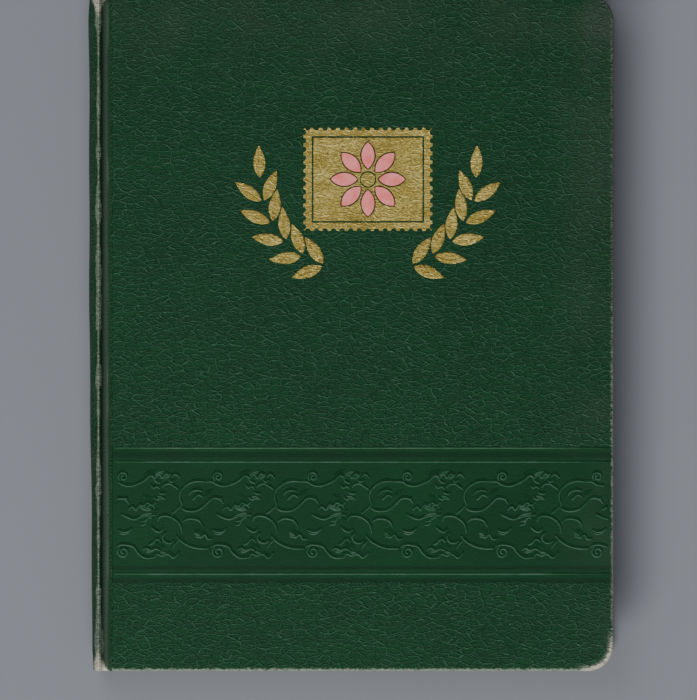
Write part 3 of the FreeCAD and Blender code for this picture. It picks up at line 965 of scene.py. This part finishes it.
class ALBUM_OT_band(bpy.types.Operator):
    """Rules and leafy scroll pressed across the front cover, lighter green as a painted highlight, with dark
    strips and patches of painted shadow beside them.
    """

    bl_idname = "album.band"
    bl_label = "Pressed band"

    def execute(self, context):
        size = sizes()
        tail = FRONT_LOW.y
        left = FRONT_LOW.x + 0.8 * MM
        right = FRONT_HIGH.x - 1.0 * MM
        rules = (
            (size.band_high + size.rule_gap / 2, 0.34),
            (size.band_high - size.rule_gap / 2, 0.30),
            (size.band_low, 0.34),
        )
        finish = highlit_pressed_leatherette()
        parts = []
        for height, wide in rules:
            stroke = ((left, tail + height), (right, tail + height))
            parts.append(line_mesh("band_rule", [stroke], wide * MM, TOP, 0.16 * MM))
        middle = tail + size.scroll_centre

        def inside(x):
            return left < x < right

        strokes = []
        leaves = []
        shadow_patches = []
        for repeat in range(-1, int((right - left) / size.scroll_period) + 1):
            foot = FRONT_LOW.x + repeat * size.scroll_period
            for line in SCROLL_LINES + tuple(tuple(spiral(*curl)) for curl in SCROLL_CURLS):
                stroke = [(foot + x * MM, middle + y * MM) for x, y in line if inside(foot + x * MM)]
                if len(stroke) > 1:
                    strokes.append(stroke)
            for leaf_list, chosen in ((SCROLL_LEAVES, leaves), (SCROLL_SHADOWS, shadow_patches)):
                for (x, y), heading, long, wide in leaf_list:
                    start = (foot + x * MM, middle + y * MM)
                    tip = start[0] + long * MM * math.cos(math.radians(heading))
                    if inside(start[0]) and inside(tip):
                        chosen.append((start, math.radians(heading), long * MM, wide * MM))
        parts.append(line_mesh("band_scroll", strokes, size.scroll_line, TOP, 0.22 * MM))
        # Painted shadow: a dark copy of each stroke, shifted towards the head and barely raised
        beside = [[(x, y + size.crease_offset) for x, y in stroke] for stroke in strokes]
        shadow_lines = [line_mesh("band_shadow_lines", beside, size.scroll_line * 1.15, TOP, 0.04 * MM)]
        for name, meshes, forms, relief, material in (
            ("pressed_band", parts, leaves, 0.1 * MM, finish),
            ("band_painted_shadows", shadow_lines, shadow_patches, 0.03 * MM, painted_shadow_leatherette()),
        ):

            def build(shape):
                for part in meshes:
                    shape.from_mesh(part)
                for start, heading, long, wide in forms:
                    leaf_form(shape, start, heading, long, wide, TOP, relief, vein=0.7)

            piece = add_piece(name, mesh_of(name, build), material)
            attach(piece, "front_cover")
        return {"FINISHED"}


class ALBUM_OT_foil(bpy.types.Operator):
    """Foil stamp frame, leaf sprays, petals and medallion on the front cover."""

    bl_idname = "album.foil"
    bl_label = "Foil emblem"

    sprays: IntProperty(name="Leaf pairs", description="Pairs of leaves in each spray", default=5)
    petals: IntProperty(name="Petals", description="Petals round the medallion", default=8)

    def frame_outlines(self):
        """Perforated outer edge and the window of the stamp frame."""
        half_x = (FRAME_HIGH.x - FRAME_LOW.x) / 2
        half_y = (FRAME_HIGH.y - FRAME_LOW.y) / 2
        size = sizes()
        bite = size.stamp_bite
        outer = []
        for run_x, run_y, half_run, half_across in (
            (1, 0, half_x, half_y),
            (0, 1, half_y, half_x),
            (-1, 0, half_x, half_y),
            (0, -1, half_y, half_x),
        ):
            count = round(2 * half_run / size.stamp_pitch)
            for index in range(count):
                along = half_run * (2 * (index + 0.5) / count - 1)
                for share in range(9):
                    turn = math.pi * share / 8
                    step = along - bite * math.cos(turn)
                    depth = half_across - bite * math.sin(turn)
                    x = EMBLEM.x + run_x * step + run_y * depth
                    y = EMBLEM.y + run_y * step - run_x * depth
                    outer.append((x, y))

        def window(inset):
            x, y = half_x - inset, half_y - inset
            corners = ((-1, -1), (1, -1), (1, 1), (-1, 1))
            return [(EMBLEM.x + side_x * x, EMBLEM.y + side_y * y) for side_x, side_y in corners]

        windows = [window(size.stamp_border), window(size.stamp_border + size.stamp_line)]
        holes = [self.petal_outline(index, size.petal_gap) for index in range(self.petals)]
        return [outer, *windows, *holes, self.disc(size.medallion_radius + size.petal_gap)]

    def disc(self, radius):
        """Round outline at the emblem's middle."""
        turns = [2 * math.pi * index / 40 for index in range(40)]
        return [(EMBLEM.x + radius * math.cos(turn), EMBLEM.y + radius * math.sin(turn)) for turn in turns]

    def petal_outline(self, index, margin):
        """Outline of one pointed petal, grown by a margin."""
        turn = 2 * math.pi * index / self.petals
        start = sizes().petal_start - margin
        long = sizes().petal_length + 2 * margin
        half = sizes().petal_width / 2 + margin
        radius = (long * long / 4 + half * half) / (2 * half)
        points = []
        for share in range(24):
            along = long * (1 - abs(1 - share / 12))
            aside = math.sqrt(radius ** 2 - (along - long / 2) ** 2) - (radius - half)
            aside = aside if share <= 12 else -aside
            reach = start + along
            points.append((
                EMBLEM.x + reach * math.cos(turn) - aside * math.sin(turn),
                EMBLEM.y + reach * math.sin(turn) + aside * math.cos(turn),
            ))
        return points

    def execute(self, context):
        size = sizes()
        relief = size.foil_relief
        level = TOP - 0.01 * MM

        def plate(name, outlines):
            return plate_mesh(name, outlines, level + relief / 2, relief)

        def build_sprays(shape):
            foot_x, foot_y = 4.5 * MM, -28.2 * MM
            first, last, lean = 18, 88, 38
            stalk = 0.8 * MM
            long, wide = size.spray_leaf_length, size.spray_leaf_width
            for side in (-1, 1):
                for index in range(self.sprays + 1):
                    heading = first + (last - first) * index / self.sprays
                    turn = math.radians(heading)
                    x = foot_x + size.spray_radius * math.sin(turn)
                    y = foot_y + size.spray_radius * (1 - math.cos(turn))
                    for offset in ((-lean, lean) if index < self.sprays else (0,)):
                        angle = math.radians(heading + offset)
                        start_x = EMBLEM.x + side * (x + stalk * math.cos(angle))
                        start_y = EMBLEM.y + y + stalk * math.sin(angle)
                        ahead = angle if side > 0 else math.pi - angle
                        leaf_form(shape, (start_x, start_y), ahead, long, wide, level, relief)

        foils = {"gold_foil": gold_leaf(), "pink_foil": pink_leaf()}
        stamp = self.frame_outlines()
        petals = [self.petal_outline(index, 0.0) for index in range(self.petals)]
        centre = [self.disc(size.medallion_radius)]
        for name, mesh, smooth, node, slot in (
            ("foil_frame", plate("foil_frame", stamp), False, "foil_stamp_frame", "gold_foil"),
            ("foil_sprays", mesh_of("foil_sprays", build_sprays), True, "foil_leaf_sprays", "gold_foil"),
            ("foil_petals", plate("foil_petals", petals), False, "foil_rosette", "pink_foil"),
            ("foil_centre", plate("foil_centre", centre), False, "foil_medallion", "gold_foil"),
        ):
            piece = add_piece(name, mesh, foils[slot], smooth)
            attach(piece, "front_cover")
            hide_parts(node)
        return {"FINISHED"}


class ALBUM_OT_inside(bpy.types.Operator):
    """Finishes of the boards, leaves, pockets, interleaves, guards, lining and thread."""

    bl_idname = "album.inside"
    bl_label = "Inside finishes"

    def execute(self, context):
        pal = colours()
        card = pulp("cream_card", pal.card, pal.card_dark, browned=0.55)
        board = pulp("pulp_board", pal.board, shade(pal.board, 0.6), 0.6)
        linen = woven("hinge_linen", pal.linen, 1.6)
        thread = woven("linen_thread", pal.glassine, 3.0)
        pocket = film("pocket_film", 0.72)
        sheet = film("interleaf_glassine", 0.55)
        papers = endpaper()
        finishes = {"spine_lining": linen, "sewing_thread": thread}
        for side in ("front", "back"):
            finishes[f"{side}_board"] = board
            finishes[f"{side}_pastedown"] = papers
            finishes[f"{side}_flyleaf"] = papers
            finishes[f"{side}_hinge_lining"] = linen
        for leaf in range(1, LEAF_COUNT + 1):
            finishes[f"leaf_{leaf}_card"] = card
            finishes[f"leaf_{leaf}_guard"] = linen
            finishes[f"leaf_{leaf}_front_pockets"] = pocket
            finishes[f"leaf_{leaf}_back_pockets"] = pocket
            finishes[f"leaf_{leaf}_interleaf"] = sheet
        for node, finish in finishes.items():
            piece = frame["nodes"][node]
            if not piece.material_slots:
                raise RuntimeError(node + " has no material slot")
            for slot in piece.material_slots:
                slot.material = finish
        return {"FINISHED"}


class ALBUM_OT_stage(bpy.types.Operator):
    """Floor, light and camera."""

    bl_idname = "album.stage"
    bl_label = "Stage"

    def light(self, name, place, target, size, power):
        """A soft rectangular light that looks at a target."""
        lamp = bpy.data.lights.new(name, "AREA")
        lamp.shape = "RECTANGLE"
        lamp.size, lamp.size_y = size
        lamp.energy = power
        holder = put(name, lamp)
        holder.location = place
        holder.rotation_euler = (Vector(target) - Vector(place)).to_track_quat("-Z", "Y").to_euler()

    def execute(self, context):
        stage = context.scene.album_stage

        def build(shape):
            reach = 4.0
            skin(shape, [[(-reach, y, 0), (reach, y, 0)] for y in (-reach, reach)])

        floor = add_piece("floor", mesh_of("floor", build), floor_finish(), False)
        self.light("key", (-0.6, -2.2, 1.8), (0, 0, 0), (2.4, 1.0), stage.key_power)
        self.light("fill", (-1.3, 1.6, 2.8), (0, 0, 0), (2.4, 2.4), stage.fill_power)
        world = bpy.data.worlds.new("studio")
        world.use_nodes = True
        background = world.node_tree.nodes["Background"]
        background.inputs["Color"].default_value = (0.95, 0.97, 1.0, 1)
        background.inputs["Strength"].default_value = stage.ambient
        context.scene.world = world
        camera = bpy.data.cameras.new("camera")
        camera.sensor_fit = "HORIZONTAL"
        camera.lens = camera.sensor_width * stage.camera_height / stage.view_width
        camera.clip_end = 20
        holder = put("camera", camera)
        holder.location = (stage.view_x, stage.view_y, TOP + stage.camera_height)
        context.scene.camera = holder
        return {"FINISHED"}


OPERATORS = (
    ALBUM_OT_stage,
    ALBUM_OT_covers,
    ALBUM_OT_spine,
    ALBUM_OT_joints,
    ALBUM_OT_band,
    ALBUM_OT_foil,
    ALBUM_OT_inside,
)


class ALBUM_PT_panel(bpy.types.Panel):
    """Lists the album's pieces, sizes, colours and stage."""

    bl_idname = "ALBUM_PT_panel"
    bl_label = "Stamp album"
    bl_space_type = "VIEW_3D"
    bl_region_type = "UI"
    bl_category = "Album"

    def draw(self, context):
        for operator in OPERATORS:
            self.layout.operator(operator.bl_idname)
        for group in (context.scene.album_sizes, context.scene.album_colours, context.scene.album_stage):
            for key in group.__annotations__:
                self.layout.prop(group, key)


GROUPS = {"album_sizes": AlbumSizes, "album_colours": AlbumColours, "album_stage": AlbumStage}
CLASSES = (*GROUPS.values(), *OPERATORS, ALBUM_PT_panel)


def register():
    for item in CLASSES:
        bpy.utils.register_class(item)
    for name, group in GROUPS.items():
        setattr(bpy.types.Scene, name, PointerProperty(type=group))


def unregister():
    for name in GROUPS:
        delattr(bpy.types.Scene, name)
    for item in reversed(CLASSES):
        bpy.utils.unregister_class(item)


def main():
    register()
    for operator in OPERATORS:
        group, name = operator.bl_idname.split(".")
        getattr(getattr(bpy.ops, group), name)()
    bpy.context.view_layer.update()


if __name__ == "__main__":
    main()
